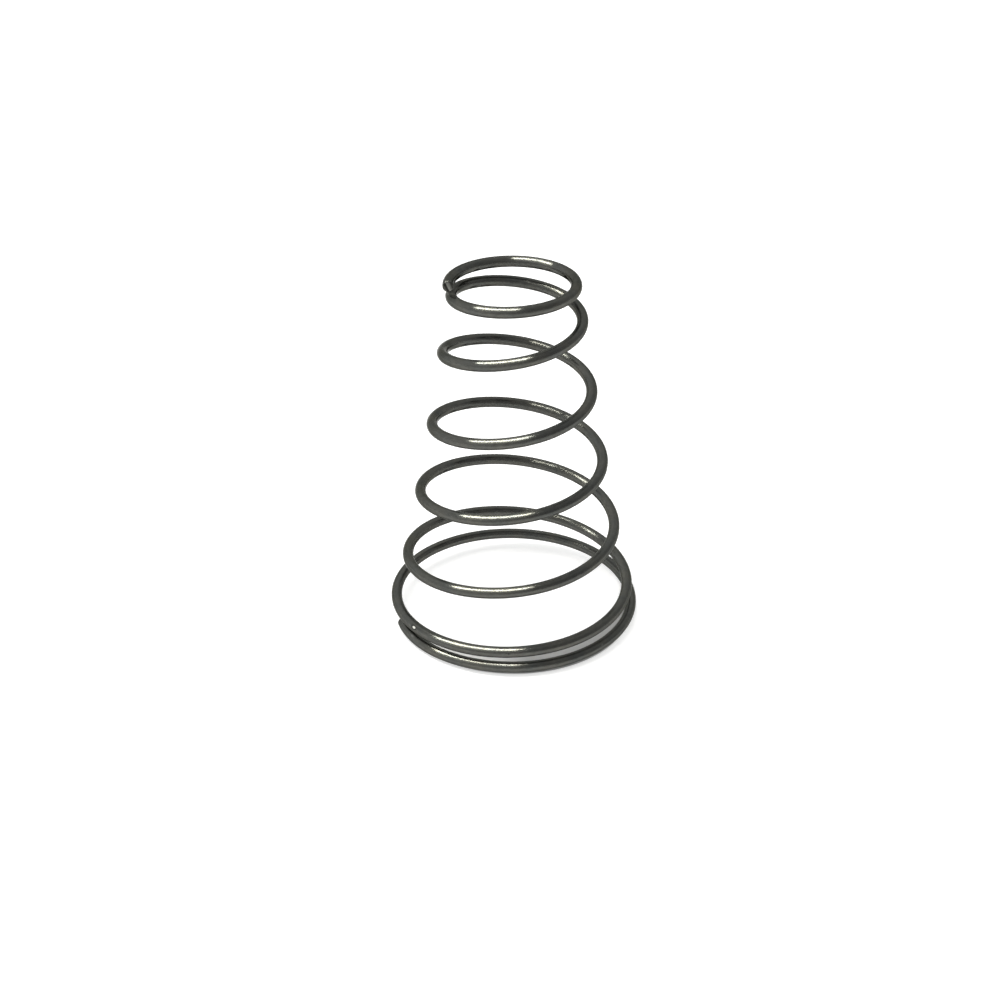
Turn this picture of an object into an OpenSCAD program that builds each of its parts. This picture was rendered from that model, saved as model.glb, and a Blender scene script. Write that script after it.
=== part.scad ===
// Conical compression spring from one round wire, all sizes in mm.
// It stands on its large end coil, and its axis is Z.

/* [Wire] */

// Diameter of the round spring wire
wire_d = 1.05; // [0.7:0.05:1.3]

// Bevel that the shears leave round both cut ends
cut_bevel = 0.08; // [0.02:0.01:0.2]

/* [Envelope] */

// Height of the unloaded spring
free_h = 34.85; // [30:0.05:45]

// Outside diameter over the large end coil
base_od = 24.35; // [20:0.05:30]

// Outside diameter over the small end coil
tip_od = 12.05; // [9:0.05:16]

/* [Winding] */

// Turns of wire from one cut end to the other
turns = 6.97; // [6:0.01:8.5]

// Angle from +X at which the small end is cut, in degrees
start_angle = 188; // [0:1:359]

// Clear height between the small end coil and the turn below it
tip_gap = 0.05; // [0.05:0.01:0.6]

// Clear height between the large end coil and the turn above it
base_gap = 0.34; // [0.1:0.01:1.2]

// Pitch at the foot of the working coils, as a share of the pitch at their head
pitch_ratio = 0.957; // [0.85:0.005:1.1]

/* [End coils] */

// Turns at the small end before the coils start to open
tip_dead_turns = 0.1; // [0:0.05:0.4]

// Turns over which the coils open to the working pitch
tip_open_turns = 2.02; // [1.2:0.01:2.4]

// Turns over which the coils close towards the large end
base_shut_turns = 1.25; // [0.8:0.05:1.6]

// Turns of closed coil at the large end
base_dead_turns = 0.75; // [0.4:0.05:0.9]

// How far the small cut end springs out of its coil
tip_kick = 0.48; // [0:0.02:0.8]

// Turns over which that end springs out
kick_turns = 0.53; // [0.3:0.01:0.8]

// How far the large cut end is drawn in towards the axis
base_tuck = 0.15; // [0:0.05:0.4]

// Turns over which that end is drawn in
tuck_turns = 0.1; // [0.05:0.05:0.5]

/* [Cone] */

// Turns from the small end to where the coils start to widen
cone_in_turns = 0.61; // [0.4:0.01:1]

// Turns from the large end to where the coils stop widening
cone_out_turns = 1.11; // [0.6:0.01:1.6]

// Half the length, in turns, of the bends into and out of the cone
cone_bend_turns = 0.18; // [0.1:0.02:0.35]

// Flare of the cone: 1 is straight, more is trumpet shaped
flare = 1.31; // [1:0.01:1.5]

/* [Fineness] */

// Flats round the wire's section
wire_sides = 12; // [8:4:12]

// Sections along each turn of wire
turn_steps = 54; // [36:6:60]

/* [Hidden] */

wire_r = wire_d / 2;
tip_r = (tip_od - wire_d) / 2;
base_r = (base_od - wire_d) / 2;
coil_rise = free_h - wire_d;
tip_open = tip_dead_turns + tip_open_turns;
base_closed = turns - base_dead_turns;
base_shuts = base_closed - base_shut_turns;
work_span = base_shuts - tip_open;
cone_end = turns - cone_out_turns;
nudge = 0.0005;

// Area under an eased step from 0 to 1: the height gained while a pitch blends in.
function eased(x) = x <= 0 ? 0 : x >= 1 ? x - 0.5 : pow(x, 3) - pow(x, 4) / 2;

// Drop of the wire over t turns, per mm of closed pitch at the small end,
// of working pitch, and of closed pitch at the large end.
function opening(t) = tip_open_turns * eased((t - tip_dead_turns) / tip_open_turns);
function falling(t) = work_span * eased((t - tip_open) / work_span);
function closing(t) = base_shut_turns * eased((t - base_shuts) / base_shut_turns);
function tip_share(t) = t - opening(t);
function work_share(t) = opening(t) + (pitch_ratio - 1) * falling(t) - pitch_ratio * closing(t);

// The three pitches that give both end gaps and the free height together.
tip_drop = wire_d + tip_gap;
base_drop = wire_d + base_gap;
tip_ratio = tip_share(turns) / tip_share(1);
last_work = work_share(turns) - work_share(turns - 1);
last_close = closing(turns) - closing(turns - 1);
base_ratio = closing(turns) / last_close;
work_pitch = (coil_rise - tip_drop * tip_ratio - base_drop * base_ratio)
    / (work_share(turns) - work_share(1) * tip_ratio - last_work * base_ratio);
tip_pitch = (tip_drop - work_pitch * work_share(1)) / tip_share(1);
base_pitch = (base_drop - work_pitch * last_work) / last_close;

function fallen(t) = tip_pitch * tip_share(t) + work_pitch * work_share(t)
    + base_pitch * closing(t);

// Straight ramp with a rounded foot, for the bends into and out of the cone.
function ramp(x) = x < -cone_bend_turns ? 0 : x > cone_bend_turns ? x
    : pow(x + cone_bend_turns, 2) / (4 * cone_bend_turns);
function widening(t) = (ramp(t - cone_in_turns) - ramp(t - cone_end)) / (cone_end - cone_in_turns);
function kicked(t) = tip_kick * pow(max(0, 1 - t / kick_turns), 2);
function tucked(t) = base_tuck * pow(max(0, 1 - (turns - t) / tuck_turns), 2);

// Middle line of the wire after t turns from the small end.
function coil_r(t) = tip_r + (base_r - tip_r) * pow(widening(t), flare) + kicked(t) - tucked(t);
function coil_z(t) = wire_r + coil_rise - fallen(t);
function middle(t) = let (a = start_angle - 360 * t, r = coil_r(t))
    [r * cos(a), r * sin(a), coil_z(t)];

function unit(v) = v / norm(v);
function along(t) = unit(middle(t + nudge) - middle(t - nudge));

// One ring of the wire's section, square to the wire, with radius r.
function ring(t, r) = let (
        way = along(t),
        a = start_angle - 360 * t,
        spoke = [cos(a), sin(a), 0],
        outward = unit(spoke - (spoke * way) * way),
        upward = cross(way, outward)
    )
    [for (k = [0 : wire_sides - 1])
        let (b = 360 * k / wire_sides)
        middle(t) + r * (cos(b) * outward + sin(b) * upward)];

// The wire: rings from cut end to cut end, the first and last drawn in by the bevel.
module coil_wire() {
    spans = ceil(turns * turn_steps);
    tip_bevel = cut_bevel / (2 * PI * coil_r(0));
    base_bevel = cut_bevel / (2 * PI * coil_r(turns));
    inner = [for (i = [1 : spans - 1]) [turns * i / spans, wire_r]];
    stations = concat(
        [[0, wire_r - cut_bevel], [tip_bevel, wire_r]],
        inner,
        [[turns - base_bevel, wire_r], [turns, wire_r - cut_bevel]]
    );
    last = len(stations) - 1;
    points = [for (s = stations) each ring(s[0], s[1])];
    skin = [for (i = [0 : last - 1], k = [0 : wire_sides - 1])
        let (n = (k + 1) % wire_sides, here = i * wire_sides, next = here + wire_sides)
        each [[here + k, next + k, next + n], [here + k, next + n, here + n]]];
    tip_cut = [for (k = [0 : wire_sides - 1]) k];
    base_cut = [for (k = [wire_sides - 1 : -1 : 0]) last * wire_sides + k];
    color([0.28, 0.28, 0.26])
        polyhedron(points, concat(skin, [tip_cut, base_cut]), convexity = 12);
}

coil_wire();
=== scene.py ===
import bpy
import numpy as np
from mathutils import Matrix, Vector


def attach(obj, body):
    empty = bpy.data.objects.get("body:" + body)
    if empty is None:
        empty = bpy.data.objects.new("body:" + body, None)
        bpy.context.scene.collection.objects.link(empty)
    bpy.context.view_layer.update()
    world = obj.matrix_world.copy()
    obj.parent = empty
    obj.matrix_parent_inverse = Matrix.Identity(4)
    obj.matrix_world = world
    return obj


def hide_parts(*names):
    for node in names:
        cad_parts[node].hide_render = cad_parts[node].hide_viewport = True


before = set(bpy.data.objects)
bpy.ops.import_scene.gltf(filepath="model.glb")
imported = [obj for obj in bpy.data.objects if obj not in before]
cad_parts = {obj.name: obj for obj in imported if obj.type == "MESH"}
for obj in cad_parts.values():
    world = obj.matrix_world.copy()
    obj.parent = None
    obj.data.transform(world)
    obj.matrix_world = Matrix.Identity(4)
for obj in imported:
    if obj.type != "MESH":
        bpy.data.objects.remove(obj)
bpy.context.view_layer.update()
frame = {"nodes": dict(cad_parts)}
scene = bpy.context.scene
scene.view_settings.view_transform = "Standard"
mm = 0.001
print("frame loaded:", ", ".join(frame["nodes"]))


# Small helpers for the node trees

def addNode(tree, kind, inputs=None, **settings):
    # one node: an input given as a socket is linked, any other is set
    made = tree.nodes.new(kind)
    for name, value in settings.items():
        setattr(made, name, value)
    for name, value in (inputs or {}).items():
        if isinstance(value, bpy.types.NodeSocket):
            tree.links.new(value, made.inputs[name])
        else:
            made.inputs[name].default_value = value
    return made


def mathNode(tree, operation, first, second):
    # the operation on two values
    return addNode(tree, "ShaderNodeMath", {0: first, 1: second}, operation=operation).outputs[0]


def mixColour(tree, factor, first, second, blend="MIX"):
    # the first colour at factor 0, the second blended in fully at 1
    facts = {"Factor": factor, 6: first, 7: second}
    return addNode(tree, "ShaderNodeMix", facts, data_type="RGBA", blend_type=blend).outputs[2]


def remap(tree, value, low, high, toLow=0.0, toHigh=1.0, kind="LINEAR"):
    # a value carried from one range to another, and held at its ends
    facts = {"Value": value, "From Min": low, "From Max": high, "To Min": toLow, "To Max": toHigh}
    return addNode(tree, "ShaderNodeMapRange", facts, interpolation_type=kind).outputs["Result"]


def toneRamp(tree, value, tones, blue=0.93):
    # grey tones at places from 0 to 1, straight between them, with blue at this share of red and green
    made = addNode(tree, "ShaderNodeValToRGB", {"Fac": value})
    stops = made.color_ramp.elements
    while len(stops) < len(tones):
        stops.new(0.5)  # its place is set below
    for stop, (place, tone) in zip(stops, tones):
        stop.position = place
        stop.color = (tone, tone, blue * tone, 1.0)
    return made.outputs["Color"]


def attribute(tree, name, socket="Fac"):
    # one of the mesh's own attributes, as a number, or as a vector by the socket's name
    return addNode(tree, "ShaderNodeAttribute", attribute_name=name).outputs[socket]


# Coil: the middle line of the wire, from the small end down to the large one

coil = {
    "wireDiameter": 1.05, "freeHeight": 34.85, "largeDiameter": 24.35, "smallDiameter": 12.05,
    "turns": 6.97, "startAngle": 188.0,  # degrees, at the small end
    "smallGap": 0.05, "largeGap": 0.34, "pitchRatio": 0.957,
    "smallDead": 0.1, "smallOpens": 2.02, "largeShuts": 1.25, "largeDead": 0.75,  # turns
    "kick": 0.48, "kickTurns": 0.53, "tuck": 0.15, "tuckTurns": 0.1,
    "coneIn": 0.61, "coneOut": 1.11, "coneBend": 0.18, "flare": 1.31,  # turns, then an exponent
    "nudge": 1e-4, "chordEnds": 20001,  # turns for the direction of travel, and points for the length
}


def easedStep(x):
    # nothing below 0, then x cubed less half of x to the fourth, and past 1 simply x less a half
    inside = np.clip(x, 0, 1)
    return inside**3 - inside**4 / 2 + np.clip(x - 1, 0, None)


def pitchShares(turn):
    # the wire's drop per unit of pitch: at the small end, in the open coils and at the large end
    opens = coil["smallDead"] + coil["smallOpens"]
    shuts = coil["turns"] - coil["largeDead"] - coil["largeShuts"]
    opening = coil["smallOpens"] * easedStep((turn - coil["smallDead"]) / coil["smallOpens"])
    falling = (shuts - opens) * easedStep((turn - opens) / (shuts - opens))
    closing = coil["largeShuts"] * easedStep((turn - shuts) / coil["largeShuts"])
    working = opening + (coil["pitchRatio"] - 1) * falling - coil["pitchRatio"] * closing
    return turn - opening, working, closing


def solvePitches():
    # the three pitches that give both end gaps and the free height together
    whole, first, last = pitchShares(coil["turns"]), pitchShares(1.0), pitchShares(coil["turns"] - 1)
    rise = coil["freeHeight"] - coil["wireDiameter"]
    smallDrop = coil["wireDiameter"] + coil["smallGap"]
    largeDrop = coil["wireDiameter"] + coil["largeGap"]
    workLast, shutLast = whole[1] - last[1], whole[2] - last[2]
    smallRatio, largeRatio = whole[0] / first[0], whole[2] / shutLast
    spare = rise - smallDrop * smallRatio - largeDrop * largeRatio
    work = spare / (whole[1] - first[1] * smallRatio - workLast * largeRatio)
    return (smallDrop - work * first[1]) / first[0], work, (largeDrop - work * workLast) / shutLast


pitches = solvePitches()


def roundedRamp(x):
    # 0, then a parabola over the bend, then x itself
    bend = coil["coneBend"]
    return np.where(x < bend, np.clip(x + bend, 0, None) ** 2 / (4 * bend), x)


def coilRadius(turn):
    # the small radius, widened by a ramp raised to the flare, with the kick and the tuck of the cut ends
    smallRadius = (coil["smallDiameter"] - coil["wireDiameter"]) / 2
    largeRadius = (coil["largeDiameter"] - coil["wireDiameter"]) / 2
    coneEnd = coil["turns"] - coil["coneOut"]
    widening = roundedRamp(turn - coil["coneIn"]) - roundedRamp(turn - coneEnd)
    widening = np.clip(widening / (coneEnd - coil["coneIn"]), 0, 1)
    kicked = coil["kick"] * np.clip(1 - turn / coil["kickTurns"], 0, 1) ** 2
    tucked = coil["tuck"] * np.clip(1 - (coil["turns"] - turn) / coil["tuckTurns"], 0, 1) ** 2
    widened = (largeRadius - smallRadius) * widening ** coil["flare"]
    return smallRadius + widened + kicked - tucked


def middleLine(turn):
    # a spiral: radius times cosine and sine of the falling angle, and the top height less pitch times share
    height = coil["freeHeight"] - coil["wireDiameter"] / 2
    height = height - sum(pitch * share for pitch, share in zip(pitches, pitchShares(turn)))
    angle = np.radians(coil["startAngle"]) - 2 * np.pi * turn
    radius = coilRadius(turn)
    return np.stack([radius * np.cos(angle), radius * np.sin(angle), height], -1), angle


def wireFrame(turn):
    # the middle line with its travel, its outward spoke and their cross product, all unit vectors
    centre, angle = middleLine(turn)
    travel = middleLine(turn + coil["nudge"])[0] - middleLine(turn - coil["nudge"])[0]
    travel /= np.linalg.norm(travel, axis=-1, keepdims=True)
    spoke = np.stack([np.cos(angle), np.sin(angle), 0 * angle], -1)
    spoke -= (spoke * travel).sum(-1, keepdims=True) * travel
    spoke /= np.linalg.norm(spoke, axis=-1, keepdims=True)
    return centre, travel, spoke, np.cross(travel, spoke)


def wireRun(turn):
    # length of wire from the small end to a turn, summed over short chords
    fineTurn = np.linspace(0, coil["turns"], coil["chordEnds"])
    chords = np.linalg.norm(np.diff(middleLine(fineTurn)[0], axis=0), axis=1)
    return np.interp(turn, fineTurn, np.r_[0, np.cumsum(chords)])


# Wire: the skin carried along the middle line, with its two sheared ends and its marks

wire = {
    "radius": coil["wireDiameter"] / 2, "stepsPerTurn": 132, "sides": 48,  # rings a turn, points a ring
    "endRound": 0.08, "endRings": 5, "faceRings": 9,  # rounding at the shears, rings over it and the face
    "faceDish": 0.02, "tearDepth": 0.03, "tearPlace": 0.17, "tearWidth": 0.05, "tearTilt": -25.0,  # degrees
    "markRings": 30, "markReach": 3.0,  # extra rings round each mark, over so many of its lengths each way
    "markedFrom": 0.99,  # share of the full radius at which the skin can be dented
    "lipHeight": 0.25, "lipPlace": 1.7, "lipSharpness": 4.0,  # share of the dent, then in sizes of the mark
    "ringsApart": 1e-6,  # turns between the rounded ends and the nearest ring
    # the map: strips of wire, their margins along and round, then the size and the places of the two faces
    "bands": 7, "bandMargin": (0.01, 0.02), "faceSize": (0.024, 0.048), "facePlaces": (0.035, 0.115),
}
marks = {  # each one's turn and side in degrees, then its length, width and depth
    "nick": {"turn": 5.919, "side": 33.0, "length": 0.30, "width": 0.17, "depth": 0.045},
    # a pale, blurred patch on the lowest coil, in the lighter tone
    "paleBlur": {"turn": 6.926, "side": 51.0, "length": 0.25, "width": 0.12, "depth": 0.006},
    "paleSpot": {"turn": 6.651, "side": 36.0, "length": 0.10, "width": 0.08, "depth": 0.004},
    # a near-black spot over a small dent
    "nearBlack": {"turn": 5.780, "side": 18.0, "length": 0.09, "width": 0.08, "depth": 0.020},
    # painted lift: a lighter, rougher patch on the next coil under the small end's tip, painted to lighten
    # the shade and dark reflection there; it has no dent
    "paintedLift": {"turn": 1.040, "side": 92.0, "length": 3.20, "width": 0.42, "depth": 0.0},
}


def bell(name, run, side):
    # exp(-(distance / size) squared) round a mark on the unrolled skin, and its dent with a low lip
    facts = marks[name]
    along = run[:, None] - wireRun(facts["turn"])
    across = np.radians((np.degrees(side)[None] - facts["side"] + 180) % 360 - 180) * wire["radius"]
    spread = (along / facts["length"]) ** 2 + (across / facts["width"]) ** 2
    mound = np.exp(-spread)
    lip = np.exp(-((np.sqrt(spread) - wire["lipPlace"]) ** 2) * wire["lipSharpness"])
    return mound, facts["depth"] * (wire["lipHeight"] * lip - mound)


def wireStations():
    # turns at which the skin has a ring, closer round the marks, and the radius there: at each end it
    # follows a quarter circle, then shrinks ring by ring over the cut face
    radius, turns = wire["radius"], coil["turns"]
    inner = np.linspace(0, turns, int(turns * wire["stepsPerTurn"]) + 1)
    spell = np.linspace(-wire["markReach"], wire["markReach"], wire["markRings"])
    spell = spell / (2 * np.pi * coilRadius(turns))
    fine = [mark["turn"] + spell * mark["length"] for mark in marks.values()]
    strips = np.arange(1, wire["bands"]) / wire["bands"] * wireRun(turns)
    strips = np.interp(strips, wireRun(inner), inner)
    inner = np.unique(np.concatenate([inner[1:-1], strips] + fine))
    arc = np.linspace(0, np.pi / 2, wire["endRings"] + 1)
    deep = np.r_[wire["endRound"] * (1 - np.sin(arc)), np.zeros(wire["faceRings"])]
    wide = radius - wire["endRound"] * (1 - np.cos(arc))
    wide = np.r_[wide, wide[-1] * np.linspace(1, 0, wire["faceRings"] + 2)[1:-1]]
    first = deep / (2 * np.pi * coilRadius(0.0))
    last = turns - deep / (2 * np.pi * coilRadius(turns))
    body = inner[(inner > first[0] + wire["ringsApart"]) & (inner < last[0] - wire["ringsApart"])]
    return np.r_[first[::-1], body, last], np.r_[wide[::-1], np.full(len(body), radius), wide], len(deep)


def cutRelief(wide, side):
    # depth of the sheared face: a shallow dish, and the groove of the tear, a bell across a tilted line
    tilt = np.radians(wire["tearTilt"])
    across = wide[:, None] * np.cos(side - tilt)[None]
    dish = wire["faceDish"] * (1 - (wide[:, None] / wire["radius"]) ** 2)
    return dish + wire["tearDepth"] * np.exp(-((across - wire["tearPlace"]) / wire["tearWidth"]) ** 2)


def wireFaces(stations, sides):
    # quads between neighbouring rings, and a fan of triangles from a pole over each end, all facing out
    row, col = np.meshgrid(np.arange(stations - 1), np.arange(sides), indexing="ij")
    after = (col + 1) % sides
    here, there = row * sides, (row + 1) * sides
    quads = np.stack([here + col, here + after, there + after, there + col], -1)
    spin = np.arange(sides)
    firstFan = np.stack([np.full(sides, stations * sides), (spin + 1) % sides, spin], -1)
    lastRing = (stations - 1) * sides
    lastPole = np.full(sides, stations * sides + 1)
    lastFan = np.stack([lastPole, lastRing + spin, lastRing + (spin + 1) % sides], -1)
    return quads.reshape(-1, 4), np.concatenate([firstFan, lastFan]), row.ravel(), col.ravel()


def wireMap(run, wide, side, onFace, quads, fans, row, col):
    # the wire unrolled into strips, one above another: u is the share of the strip's length, v the share of
    # the way round; the two cut faces lie flat as discs in a strip of their own
    bands, margin, places = wire["bands"], wire["bandMargin"], wire["facePlaces"]
    share = run / run[-1] * bands
    strip = np.floor((share[:-1] + share[1:])[row] / 2)
    corners = np.stack([row, row, row + 1, row + 1], -1)
    ways = np.stack([col, col + 1, col + 1, col], -1) / wire["sides"]
    u = margin[0] + (1 - 2 * margin[0]) * np.clip(share[corners] - strip[:, None], 0, 1)
    v = (strip[:, None] + margin[1] + (1 - 2 * margin[1]) * ways) / (bands + 1)
    strips = np.stack([u, v], -1)
    flat = np.stack([np.outer(wide, np.cos(side)), np.outer(wide, np.sin(side))], -1).reshape(-1, 2)
    flat = np.concatenate([flat, [[0, 0], [0, 0]]]) / wire["radius"] * wire["faceSize"]
    half = len(wide) // 2 * wire["sides"]
    later = np.r_[np.arange(len(flat) - 2) >= half, False, True]
    level = (bands + 0.5) / (bands + 1)  # the middle of the last strip
    flat += np.stack([np.where(later, places[1], places[0]), np.full(len(flat), level)], -1)
    lies = ((onFace[row] > 0) & (onFace[row + 1] > 0))[:, None, None]
    return np.concatenate([np.where(lies, flat[quads], strips).reshape(-1, 2), flat[fans].reshape(-1, 2)])


def putAttribute(mesh, name, values):
    # a number or a vector for each point
    made = mesh.attributes.new(name, "FLOAT_VECTOR" if values.ndim == 2 else "FLOAT", "POINT")
    made.data.foreach_set("vector" if values.ndim == 2 else "value", values.astype(np.float32).ravel())


def buildWire():
    # skin = middle line + ring radius * (cosine * spoke + sine * rise), dented at the marks
    turn, wide, endRows = wireStations()
    centre, travel, spoke, rise = wireFrame(turn)
    side = np.arange(wire["sides"]) * 2 * np.pi / wire["sides"]
    run = wireRun(turn)
    mounds = {name: bell(name, run, side) for name in marks}
    marked = (wide > wire["markedFrom"] * wire["radius"])[:, None]
    dents = sum(dent for mound, dent in mounds.values()) * marked
    outward = np.cos(side)[None, :, None] * spoke[:, None] + np.sin(side)[None, :, None] * rise[:, None]
    skin = centre[:, None] + (wide[:, None] + dents)[..., None] * outward

    faceRows = endRows - wire["endRings"]
    inwards = np.zeros(len(turn))
    inwards[:faceRows] = 1
    inwards[-faceRows:] = -1
    relief = cutRelief(wide, side)
    skin += (inwards[:, None] * relief)[..., None] * travel[:, None]
    poleDepth = cutRelief(np.zeros(1), side)[0, 0]
    poles = np.stack([centre[0] + travel[0] * poleDepth, centre[-1] - travel[-1] * poleDepth])
    points = np.concatenate([skin.reshape(-1, 3), poles])
    quads, fans, row, col = wireFaces(*skin.shape[:2])
    mesh = bpy.data.meshes.new("springWire")
    mesh.from_pydata((points * mm).tolist(), [], quads.tolist() + fans.tolist())

    # the wire pulled straight: across, across and along, so that a pattern follows it without a seam
    across = np.outer(wide, np.cos(side)), np.outer(wide, np.sin(side))
    straight = np.stack([*across, np.broadcast_to(run[:, None], across[0].shape)], -1).reshape(-1, 3)
    putAttribute(mesh, "alongWire", np.concatenate([straight, [[0, 0, 0], [0, 0, run[-1]]]]) * mm)
    putAttribute(mesh, "wireWay", np.concatenate([np.repeat(travel, wire["sides"], 0), travel[[0, -1]]]))
    putAttribute(mesh, "cutFace", np.r_[np.repeat(abs(inwards), wire["sides"]), 1, 1])
    for name, (mound, dent) in mounds.items():
        putAttribute(mesh, name + "Mark", np.r_[mound.ravel(), 0, 0])
    uv = wireMap(run, wide, side, abs(inwards), quads, fans, row, col)
    mesh.uv_layers.new(name="OFBake").data.foreach_set("uv", uv.astype(np.float32).ravel())
    mesh.shade_smooth()
    made = bpy.data.objects.new("springWire", mesh)
    scene.collection.objects.link(made)
    length = round(float(run[-1]), 1)
    print("wire:", len(points), "points,", len(mesh.polygons), "faces,", length, "mm of wire")
    return made


# Steel: dark oiled spring wire, drawn lengthwise

steel = {
    "dark": (0.083, 0.086, 0.082, 1.0), "warm": (0.099, 0.098, 0.088, 1.0),
    "edgeTint": (0.42, 0.42, 0.41, 1.0), "fresh": (0.75, 0.74, 0.68, 1.0),
    "paleSpot": (0.20, 0.20, 0.19, 1.0), "nearBlack": (0.02, 0.02, 0.02, 1.0), "paintedLift": (0.30, 0.30, 0.28, 1.0),
    # lumps per metre of each noise, and of the lines along the wire
    "mottle": 420.0, "speckle": 4200.0, "line": 6500.0, "fineLine": 11000.0, "lineStretch": 90.0,
    "mottleDetail": 3.0, "lineDetail": 2.0, "fineDetail": 1.0, "noiseRoughness": 0.55,
    "speckleLong": 0.5, "fineStretch": 2.0,  # lumps along the wire: to those across, and to lineStretch
    "fineShare": 0.3, "speckleShare": 0.4,  # of the fine lines in the grain, and of the speckle in the bump
    "mottleSpan": (0.35, 0.65), "noiseSpan": (0.3, 0.7),  # the middle part of a noise, where its values lie
    "lines": (0.86, 1.14), "spots": (-0.12, 0.12),  # the colour is multiplied by lines plus spots
    "roughLow": 0.20, "roughHigh": 0.22, "cutRough": 0.42, "paintedLiftRough": 0.8,
    "lengthwise": 0.95, "acrossWire": 0.25,  # a share, and a share of a turn
    "grain": 0.0009, "grainStrength": 0.04,
    # tones across the cut face: far rim, light torn zone, painted shade in the tear, painted highlight on
    # the near rim
    "cutTones": [
        (0.0, 0.06), (0.22, 0.08), (0.32, 0.28), (0.55, 0.40),
        (0.60, 0.05), (0.72, 0.05), (0.78, 0.16), (0.95, 0.12),
    ],
    "cutFade": (1.4, 0.3),  # times this at its foot, and at its head: painted shading, darker towards the head
    "paintedLiftSpan": (0.2, 0.7),  # heights of the painted lift's mound between which its lighter colour comes in
    # each mark's colour in turn: from and to which height of its mound, from and to which share, which tone
    "coats": [
        ("paleBlurMark", (0.1, 0.8, 0.0, 0.55), "paleSpot"),
        ("paleSpotMark", (0.1, 0.8, 0.0, 1.0), "paleSpot"),
        ("nearBlackMark", (0.2, 0.8, 0.0, 1.0), "nearBlack"),
        # painted shadow: a near-black ring round the nick's bright core
        ("nickMark", (0.1, 0.3, 0.0, 0.8), "nearBlack"),
        ("nickMark", (0.5, 0.7, 0.0, 1.0), "fresh"),
    ],
}


def steelMaterial():
    # metal whose colour mottles slowly, with fine draw lines along the wire in colour, gloss and bump, a
    # torn face at each cut end with painted shade and a painted highlight, a nick with a painted shadow
    # round it, pale patches, a near-black spot in a small dent, and a painted lift on the next coil under
    # the small end's tip
    made = bpy.data.materials.new("oiledSpringSteel")
    made.use_nodes = True
    tree = made.node_tree
    tree.nodes.clear()
    place = attribute(tree, "alongWire", "Vector")

    def pattern(across, along, detail):
        # noise over the straightened wire, so many lumps per metre across it and along it
        facts = {0: place, 1: (across, across, along)}
        scaled = addNode(tree, "ShaderNodeVectorMath", facts, operation="MULTIPLY").outputs[0]
        facts = {"Vector": scaled, "Scale": 1.0, "Detail": detail, "Roughness": steel["noiseRoughness"]}
        return addNode(tree, "ShaderNodeTexNoise", facts).outputs["Fac"]

    def grey(level):
        # the same number in red, green and blue
        return addNode(tree, "ShaderNodeCombineColor", {0: level, 1: level, 2: level}).outputs[0]

    def sectionWay(across, up):
        # how far along a direction of the wire's section, as a dot product, with 0 at the middle
        facts = {0: place, 1: (across, up, 0)}
        return addNode(tree, "ShaderNodeVectorMath", facts, operation="DOT_PRODUCT").outputs["Value"]

    mottle = pattern(steel["mottle"], steel["mottle"], steel["mottleDetail"])
    speckle = pattern(steel["speckle"], steel["speckle"] * steel["speckleLong"], steel["lineDetail"])
    line = pattern(steel["line"], steel["lineStretch"], steel["lineDetail"])
    fineLine = pattern(steel["fineLine"], steel["lineStretch"] * steel["fineStretch"], steel["fineDetail"])
    fineShare = mathNode(tree, "MULTIPLY", fineLine, steel["fineShare"])
    grain = mathNode(tree, "ADD", mathNode(tree, "MULTIPLY", line, 1 - steel["fineShare"]), fineShare)
    colour = mixColour(tree, remap(tree, mottle, *steel["mottleSpan"]), steel["dark"], steel["warm"])
    spots = remap(tree, speckle, *steel["noiseSpan"], *steel["spots"])
    lift = mathNode(tree, "ADD", remap(tree, grain, *steel["noiseSpan"], *steel["lines"]), spots)
    colour = mixColour(tree, 1.0, colour, grey(lift), "MULTIPLY")

    tilt, reach = np.radians(wire["tearTilt"]), wire["radius"] * mm
    # the dark tone over the tear's groove is painted shade, the lighter near rim a painted highlight
    torn = remap(tree, sectionWay(np.cos(tilt), np.sin(tilt)), -reach, reach)
    torn = toneRamp(tree, torn, steel["cutTones"])
    # painted shading: the face darker towards its head and lighter at its foot
    fade = remap(tree, sectionWay(-np.sin(tilt), np.cos(tilt)), -reach, reach, *steel["cutFade"])
    torn = mixColour(tree, 1.0, torn, grey(fade), "MULTIPLY")
    cut = attribute(tree, "cutFace")
    # painted lift: a lighter colour on the next coil under the tip, standing in for light where it lies in
    # shade
    paintedLift = remap(tree, attribute(tree, "paintedLiftMark"), *steel["paintedLiftSpan"])
    colour = mixColour(tree, paintedLift, colour, steel["paintedLift"])
    colour = mixColour(tree, cut, colour, torn)
    for mark, span, tone in steel["coats"]:
        colour = mixColour(tree, remap(tree, attribute(tree, mark), *span), colour, steel[tone])

    rough = remap(tree, grain, *steel["noiseSpan"], steel["roughLow"], steel["roughHigh"])
    rough = mathNode(tree, "MAXIMUM", rough, mathNode(tree, "MULTIPLY", cut, steel["cutRough"]))
    rough = mathNode(tree, "MAXIMUM", rough, mathNode(tree, "MULTIPLY", paintedLift, steel["paintedLiftRough"]))
    height = mathNode(tree, "ADD", grain, mathNode(tree, "MULTIPLY", speckle, steel["speckleShare"]))
    facts = {"Height": height, "Strength": steel["grainStrength"], "Distance": steel["grain"] * mm}
    bump = addNode(tree, "ShaderNodeBump", facts).outputs[0]
    shader = addNode(tree, "ShaderNodeBsdfPrincipled", {
        "Base Color": colour, "Roughness": rough, "Normal": bump,
        "Metallic": 1.0, "Specular Tint": steel["edgeTint"],
        "Tangent": attribute(tree, "wireWay", "Vector"),
        "Anisotropic": steel["lengthwise"], "Anisotropic Rotation": steel["acrossWire"],
    })
    addNode(tree, "ShaderNodeOutputMaterial", {"Surface": shader.outputs[0]})
    return made


springWire = buildWire()
springWire.data.materials.append(steelMaterial())
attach(springWire, "root")
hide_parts("coil_wire")
print("steel made")


# Floor: one white sheet just under the spring

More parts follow.
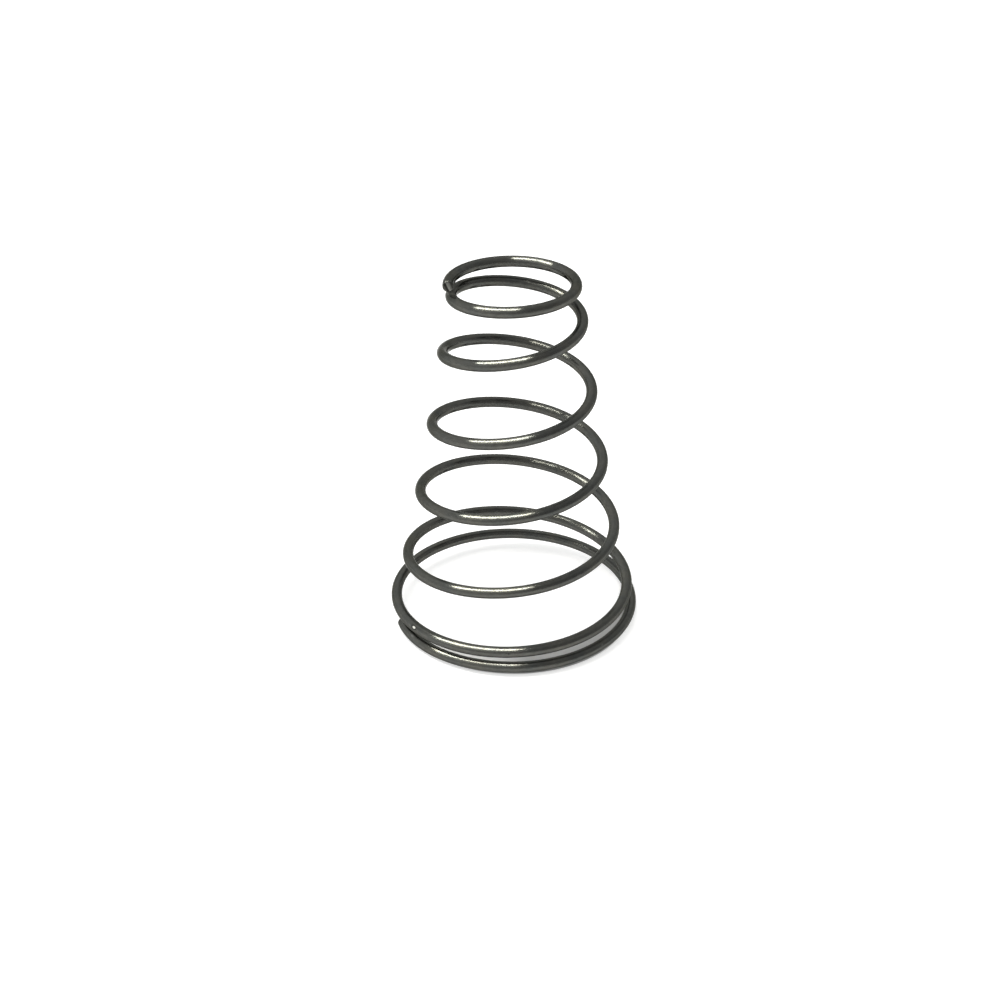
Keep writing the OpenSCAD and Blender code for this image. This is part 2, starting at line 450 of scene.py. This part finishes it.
floor = {
    "size": 6000.0, "drop": 0.01, "paper": (0.76, 0.76, 0.76, 1.0),
    "glowNear": 0.55, "glowFar": 0.65, "farFrom": 20.0, "farTo": 260.0,  # white added, by distance back
    "glowStops": -85.0, "glowStarts": -52.0,  # and none in front of the camera's view
    # no white is added where the shade is deepest: from under the lowest coil out to its foot, and inwards
    # to a circle about a point farther back, which leaves the crescent seen between the two lowest coils
    "footFrom": 11.5, "footTo": 11.75, "shadeCentre": (-1.0, 3.5), "shadeFrom": 12.6, "shadeTo": 11.6,
    "paintedShadow": (0.46, 0.46, 0.46, 1.0), "paintedShadowFrom": -1.2, "paintedShadowTo": 1.2,  # painted shadow: a darker paper on the right side of that crescent
}


def seenDirectly(tree):
    # 1 for camera, glossy and transmission rays, so that metal mirrors the white that the camera sees
    path = addNode(tree, "ShaderNodeLightPath")
    gloss = mathNode(tree, "MAXIMUM", path.outputs["Is Glossy Ray"], path.outputs["Is Transmission Ray"])
    return mathNode(tree, "MAXIMUM", path.outputs["Is Camera Ray"], gloss)


def paperMaterial():
    # a matt sheet, plus a white glow for the rays that see it directly; the shadow stays in the matt part,
    # and a painted shadow darkens the paper on the right of the crescent between the two lowest coils
    made = bpy.data.materials.new("whitePaper")
    made.use_nodes = True
    tree = made.node_tree
    tree.nodes.clear()
    place = addNode(tree, "ShaderNodeTexCoord").outputs["Object"]
    apart = addNode(tree, "ShaderNodeSeparateXYZ", {0: place})
    across, back = apart.outputs["X"], apart.outputs["Y"]
    span = floor["farFrom"] * mm, floor["farTo"] * mm
    glow = remap(tree, back, *span, floor["glowNear"], floor["glowFar"], "SMOOTHSTEP")

    def clear(centre, start, end):
        # 0 at the first distance from a centre, 1 at the second
        facts = {0: place, 1: (centre[0] * mm, centre[1] * mm, 0)}
        away = addNode(tree, "ShaderNodeVectorMath", facts, operation="DISTANCE").outputs["Value"]
        return remap(tree, away, start * mm, end * mm, kind="SMOOTHSTEP")

    outside = clear((0, 0), floor["footFrom"], floor["footTo"])
    inside = clear(floor["shadeCentre"], floor["shadeFrom"], floor["shadeTo"])
    front = remap(tree, back, floor["glowStops"] * mm, floor["glowStarts"] * mm)
    glow = mathNode(tree, "MULTIPLY", glow, front)
    lifted = mathNode(tree, "MAXIMUM", outside, inside)
    glow = mathNode(tree, "MULTIPLY", glow, lifted)
    glow = mathNode(tree, "MULTIPLY", glow, seenDirectly(tree))
    # painted shadow: the paper darkened towards the right in the crescent left without glow
    shade = remap(tree, across, floor["paintedShadowFrom"] * mm, floor["paintedShadowTo"] * mm)
    shade = mathNode(tree, "MULTIPLY", shade, mathNode(tree, "SUBTRACT", 1.0, lifted))
    paper = mixColour(tree, shade, floor["paper"], floor["paintedShadow"])
    lit = addNode(tree, "ShaderNodeBsdfDiffuse", {"Color": paper})
    white = addNode(tree, "ShaderNodeEmission", {"Color": (1, 1, 1, 1), "Strength": glow})
    both = addNode(tree, "ShaderNodeAddShader", {0: lit.outputs[0], 1: white.outputs[0]})
    addNode(tree, "ShaderNodeOutputMaterial", {"Surface": both.outputs[0]})
    return made


def buildFloor():
    # a square about the origin, as wide as the size, at the drop below it
    half, drop = floor["size"] / 2 * mm, -floor["drop"] * mm
    mesh = bpy.data.meshes.new("floorPaper")
    corners = [(-half, -half, drop), (half, -half, drop), (half, half, drop), (-half, half, drop)]
    mesh.from_pydata(corners, [], [(0, 1, 2, 3)])
    mesh.materials.append(paperMaterial())
    made = bpy.data.objects.new("floorPaper", mesh)
    scene.collection.objects.link(made)


# Light: one large soft box overhead to the left, in a dim room that is lighter on the left

studio = {
    "room": 0.79, "roomSlope": (-0.33, 0.27, -0.08),  # middle level, and its rise per axis
    "roomColour": (0.98, 0.99, 0.975, 1.0),
    # degrees: lean to the right and tip to the back of straight up, turn, and sides as seen from the aim
    "aim": (0, 0, 15), "lean": -20.2, "tip": -2.0, "slant": -24.0, "spread": (44.5, 13.0),
    "key": {"away": 1500, "level": 10.0, "colour": (1.0, 0.98, 0.94)},
    "gleam": {"away": 1490, "level": 28.0, "colour": (0.985, 0.975, 0.86)},
}


def addSoftbox(name):
    # a rectangle facing the aim: its direction is (tan lean, tan tip, 1), it is turned about that by the
    # slant, and each side is 2 away tan(spread / 2); its watts are level times pi times area, so that the
    # level is in units of white
    facts = studio[name]
    lean, tip = np.radians(studio["lean"]), np.radians(studio["tip"])
    way = Vector((np.tan(lean), np.tan(tip), 1.0)).normalized()
    width, depth = (2 * facts["away"] * np.tan(np.radians(side / 2)) * mm for side in studio["spread"])
    data = bpy.data.lights.new(name, "AREA")
    data.shape = "RECTANGLE"
    data.size, data.size_y = width, depth
    data.energy, data.color = facts["level"] * np.pi * width * depth, facts["colour"]
    made = bpy.data.objects.new(name, data)
    right = Vector((0, 1, 0)).cross(way).normalized()
    right.rotate(Matrix.Rotation(np.radians(studio["slant"]), 3, way))
    turned = Matrix((right, way.cross(right), way)).transposed().to_4x4()
    made.matrix_world = Matrix.Translation(Vector(studio["aim"]) * mm + way * facts["away"] * mm) @ turned
    made.visible_camera = False
    scene.collection.objects.link(made)
    return made


def buildRoom():
    # strength = middle level + slope times direction: more to the left and the back, less to the ceiling
    made = bpy.data.worlds.new("dimRoom")
    scene.world = made
    made.use_nodes = True
    tree = made.node_tree
    tree.nodes.clear()
    way = addNode(tree, "ShaderNodeTexCoord").outputs["Generated"]
    facts = {0: way, 1: studio["roomSlope"]}
    leaning = addNode(tree, "ShaderNodeVectorMath", facts, operation="DOT_PRODUCT").outputs["Value"]
    level = mathNode(tree, "ADD", leaning, studio["room"])
    room = addNode(tree, "ShaderNodeBackground", {"Color": studio["roomColour"], "Strength": level})
    addNode(tree, "ShaderNodeOutputWorld", {"Surface": room.outputs[0]})


buildFloor()
addSoftbox("key")
addSoftbox("gleam").visible_diffuse = False  # seen by gloss alone, so that matt colours stay at their level
buildRoom()
print("floor and lights made")


# Camera

view = {
    "lens": 54.407, "sensor": 36.0, "distance": 145.6442, "aim": (-1.3624, 0.0, 12.12),
    "elevation": 29.4415, "roll": -0.1055,  # degrees
    "nearest": 5.0, "farthest": 20000.0,  # from and to which distance it shows things
}


def addCamera():
    # back points from the aim to the camera; right and up are turned about it by the roll
    lift, roll = np.radians(view["elevation"]), np.radians(view["roll"])
    back = np.array([0, -np.cos(lift), np.sin(lift)])
    level = np.array([1.0, 0, 0])
    upright = np.cross(back, level)
    right = level * np.cos(roll) + upright * np.sin(roll)
    up = upright * np.cos(roll) - level * np.sin(roll)
    data = bpy.data.cameras.new("camera")
    data.lens, data.sensor_width = view["lens"], view["sensor"]
    data.clip_start, data.clip_end = view["nearest"] * mm, view["farthest"] * mm
    made = bpy.data.objects.new("camera", data)
    made.rotation_mode = "QUATERNION"
    made.rotation_quaternion = Matrix(np.stack([right, up, back], 1).tolist()).to_quaternion()
    made.location = Vector(((np.array(view["aim"]) + back * view["distance"]) * mm).tolist())
    scene.collection.objects.link(made)
    scene.camera = made


addCamera()
print("camera made")
